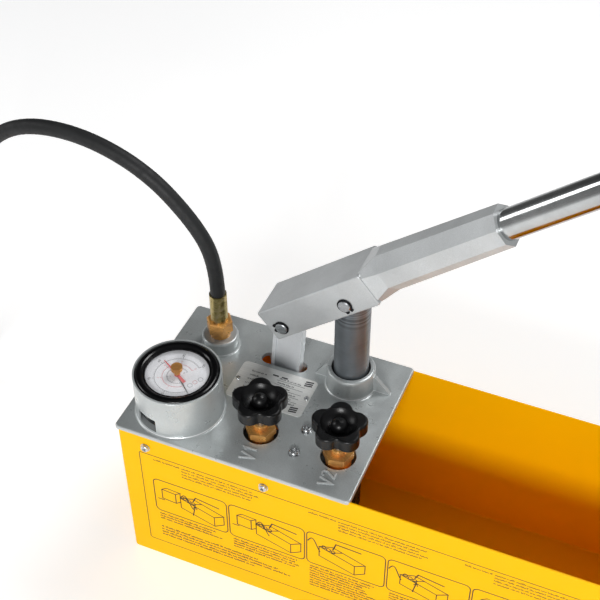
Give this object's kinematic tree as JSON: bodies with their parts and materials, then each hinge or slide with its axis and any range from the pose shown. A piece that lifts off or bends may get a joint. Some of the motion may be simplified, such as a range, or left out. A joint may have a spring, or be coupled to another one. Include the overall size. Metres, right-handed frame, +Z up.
{
  "type": "hydraulic hand pump",
  "caption": "Hand-operated hydraulic test pump with an open steel tank, grey cast cover, pressure gauge, shut-off valves, pump lever and pressure hose.",
  "frame": {"origin": "centre of the tank's underside, on the floor", "axes": "+Z up; +X along the tank towards the end over which the lever's grip reaches; -Y the side with the gauge and the valves, which the operator faces"},
  "size_m": [1.0532, 0.2269, 0.6626],
  "materials": {
    "black_case": "satin",
    "black_steel": "oxide black",
    "brass_fitting": "machined",
    "bright_steel": "ground",
    "bronze": "honed",
    "chrome_tube": "polished",
    "data_plate": "printed",
    "dial_white": "satin",
    "ferrule_steel": "yellow zinc",
    "grey_paint": "satin",
    "grip_rubber": "matt",
    "hose_rubber": "matt",
    "knob_black": "satin",
    "lever_paint": "satin",
    "link_paint": "satin",
    "needle_black": "satin",
    "piston_steel": "dull ground",
    "pointer_red": "satin",
    "raw_casting": "matt cast",
    "seal_rubber": "matt",
    "strainer_plastic": "matt",
    "window": "clear",
    "yellow_paint": "gloss",
    "zinc_screw": "bright zinc"
  },
  "bodies": {
    "tank_and_cover": {"tank": "yellow_paint", "cover": "grey_paint", "side_screws": "zinc_screw", "body_screws": "zinc_screw", "nameplate": "data_plate", "nameplate_rivets": "zinc_screw", "pump_body": "raw_casting", "cylinder_liner": "bronze", "rod_seal": "seal_rubber", "gland_bush": "grey_paint", "wiper_ring": "seal_rubber", "suction_seat": "brass_fitting", "suction_pipe": "brass_fitting", "strainer": "strainer_plastic", "delivery_plug": "brass_fitting", "valve_1_bonnet": "brass_fitting", "valve_2_bonnet": "brass_fitting", "gauge_case": "black_case", "gauge_stem": "brass_fitting", "gauge_bezel": "black_case", "gauge_dial": "dial_white", "gauge_window": "window", "fulcrum_pin": "bright_steel", "hose_adapter": "brass_fitting", "hose_ferrule": "ferrule_steel", "hose": "hose_rubber", "hose_coil": "hose_rubber", "hose_tail": "hose_rubber", "end_ferrule": "ferrule_steel", "end_nut": "brass_fitting"},
    "piston": {"piston": "piston_steel"},
    "lever": {"lever_yoke": "lever_paint", "handle_tube": "chrome_tube", "handle_grip": "grip_rubber", "socket_screw": "black_steel", "piston_pin": "bright_steel", "link_pin": "bright_steel", "circlips": "black_steel", "link_spacers": "grip_rubber"},
    "link": {"fulcrum_link": "link_paint"},
    "valve_1_lift": {"valve_1_disc": "brass_fitting"},
    "valve_1_turn": {"valve_1_spindle": "bright_steel", "valve_1_knob": "knob_black"},
    "valve_2_lift": {"valve_2_disc": "brass_fitting"},
    "valve_2_turn": {"valve_2_spindle": "bright_steel", "valve_2_knob": "knob_black"},
    "needle": {"gauge_needle": "needle_black"},
    "drag": {"drag_pointer": "pointer_red", "reset_knob": "brass_fitting"},
    "suction_ball": {"suction_ball": "bright_steel"},
    "delivery_ball": {"delivery_ball": "bright_steel"}
  },
  "joints": [
    {"name": "piston_slide", "type": "slide", "parent": "tank_and_cover", "child": "piston", "axis": [0, 0, 1], "range_m": [-0.0447, 0.0058]},
    {"name": "lever_hinge", "type": "hinge", "parent": "piston", "child": "lever", "pos_m": [-0.0745, 0.045, 0.2978], "axis": [0, -1, 0], "range_deg": [-37.3, 4.7]},
    {"name": "link_hinge", "type": "hinge", "parent": "lever", "child": "link", "pos_m": [-0.13331, 0.045, 0.24966], "axis": [0, -1, 0], "range_deg": [-6.3, 48.8]},
    {"name": "valve_1_rise", "type": "slide", "parent": "tank_and_cover", "child": "valve_1_lift", "axis": [0, 0, 1], "range_m": [0, 0.003]},
    {"name": "valve_1_turn", "type": "hinge", "parent": "valve_1_lift", "child": "valve_1_turn", "pos_m": [-0.127, -0.0406, 0.2], "axis": [0, 0, 1], "range_deg": [0, 720.5]},
    {"name": "valve_2_rise", "type": "slide", "parent": "tank_and_cover", "child": "valve_2_lift", "axis": [0, 0, 1], "range_m": [0, 0.003]},
    {"name": "valve_2_turn", "type": "hinge", "parent": "valve_2_lift", "child": "valve_2_turn", "pos_m": [-0.053, -0.0406, 0.2], "axis": [0, 0, 1], "range_deg": [0, 720.5]},
    {"name": "needle_hinge", "type": "hinge", "parent": "tank_and_cover", "child": "needle", "pos_m": [-0.2071, -0.0406, 0.22], "axis": [0, 0, -1], "range_deg": [0, 270]},
    {"name": "drag_hinge", "type": "hinge", "parent": "tank_and_cover", "child": "drag", "pos_m": [-0.2071, -0.0406, 0.222], "axis": [0, 0, -1], "range_deg": [-170, 100]},
    {"name": "suction_ball_lift", "type": "slide", "parent": "tank_and_cover", "child": "suction_ball", "axis": [0, 0, 1], "range_m": [0, 0.002]},
    {"name": "delivery_ball_lift", "type": "slide", "parent": "tank_and_cover", "child": "delivery_ball", "axis": [0, 0, 1], "range_m": [0, 0.002]}
  ],
  "couplings": [
    {"joint": "piston_slide", "follows": "lever_hinge", "m_per_rad": 0.06849},
    {"joint": "link_hinge", "follows": "lever_hinge", "ratio": -1.3025},
    {"joint": "valve_1_turn", "follows": "valve_1_rise", "rad_per_m": 4188.8},
    {"joint": "valve_2_turn", "follows": "valve_2_rise", "rad_per_m": 4188.8}
  ]
}
